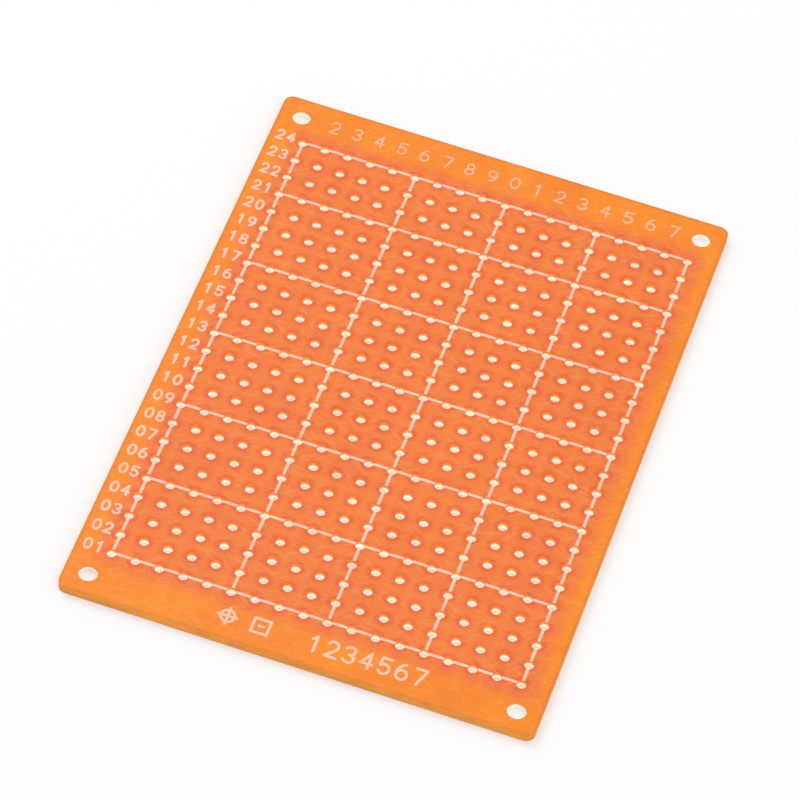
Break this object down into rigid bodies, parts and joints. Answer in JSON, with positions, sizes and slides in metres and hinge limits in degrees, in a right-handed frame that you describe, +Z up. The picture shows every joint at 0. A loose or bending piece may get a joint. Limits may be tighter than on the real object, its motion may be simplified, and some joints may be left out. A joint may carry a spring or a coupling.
{
  "type": "prototype board",
  "caption": "Drilled paper-phenolic prototype board with a square grid of lead holes, copper pads underneath, printed index lines on top and corner mounting holes",
  "frame": {"origin": "middle of the board's outline, at the height of the surface that the pads rest on", "axes": "+X along the short side, away from the numbered edge; +Y along the long side, towards the first row of holes; +Z up, out of the printed side"},
  "size_m": [0.05, 0.07, 0.0011],
  "materials": {
    "laminate": "orange paper phenolic, satin",
    "printed_grid": "off-white printed ink",
    "copper": "bare copper foil under clear flux"
  },
  "bodies": {
    "root": {"laminate": "laminate", "printed_grid": "printed_grid", "pads_column_1": "copper", "pads_column_2": "copper", "pads_column_3": "copper", "pads_column_4": "copper", "pads_column_5": "copper", "pads_column_6": "copper", "pads_column_7": "copper", "pads_column_8": "copper", "pads_column_9": "copper", "pads_column_10": "copper", "pads_column_11": "copper", "pads_column_12": "copper", "pads_column_13": "copper", "pads_column_14": "copper", "pads_column_15": "copper", "pads_column_16": "copper", "pads_column_17": "copper", "pads_column_18": "copper"}
  },
  "joints": []
}
